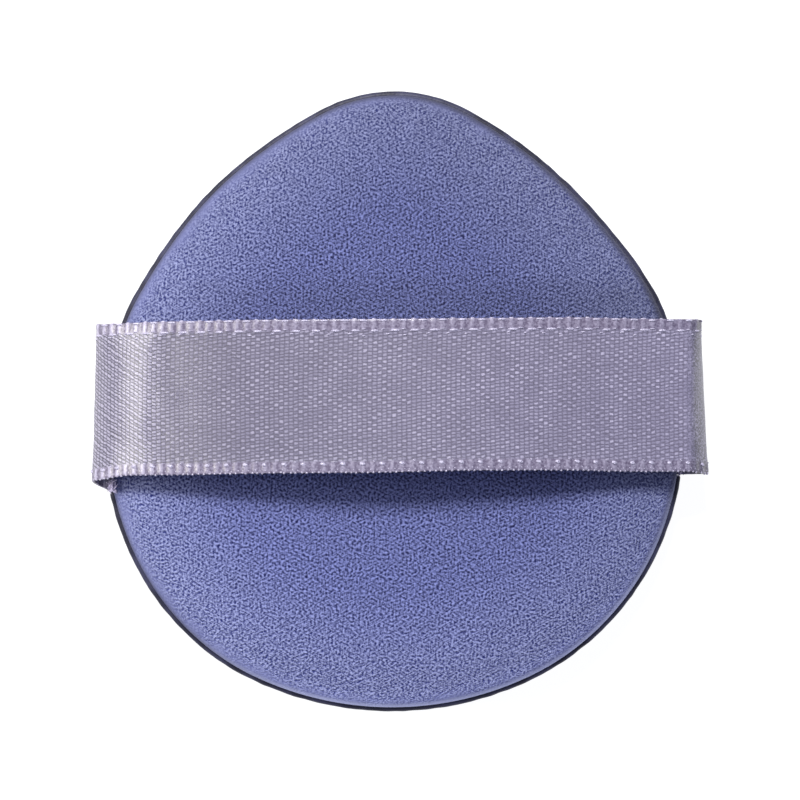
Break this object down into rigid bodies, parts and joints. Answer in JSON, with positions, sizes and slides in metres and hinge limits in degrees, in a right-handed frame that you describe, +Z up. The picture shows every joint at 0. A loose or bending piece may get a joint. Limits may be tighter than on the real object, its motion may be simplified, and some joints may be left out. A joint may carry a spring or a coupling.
{
  "type": "powder puff",
  "caption": "Drop-shaped air-cushion powder puff with a satin ribbon finger strap arching over its back, lying on its flat powder face.",
  "frame": {"origin": "bottom centre of the whole object's box, on the surface that the powder face lies on", "axes": "+Z up out of the back, towards the ribbon; +Y towards the point of the drop; +X along the ribbon, to the right seen from above"},
  "size_m": [0.0615, 0.062, 0.014],
  "materials": {
    "puff_skin": "matt microporous foam skin, periwinkle blue",
    "core_sponge": "open-cell sponge",
    "hot_melt_film": "thin adhesive film",
    "fused_rim": "fused and densified foam, dark and slightly glossy",
    "satin_ribbon": "single-face polyester satin with woven selvedges"
  },
  "bodies": {
    "pad": {"front_skin": "puff_skin", "front_glue_film": "hot_melt_film", "foam_core": "core_sponge", "back_glue_film": "hot_melt_film", "back_skin": "puff_skin", "rim_weld_tip": "fused_rim", "rim_weld_round": "fused_rim"},
    "strap": {"finger_ribbon": "satin_ribbon"}
  },
  "joints": [
    {"name": "strap_lift", "type": "slide", "parent": "pad", "child": "strap", "axis": [0, 0, 1], "range_m": [-0.004, 0.0023], "stiffness_N_per_m": 20, "deforming": ["finger_ribbon"]}
  ]
}
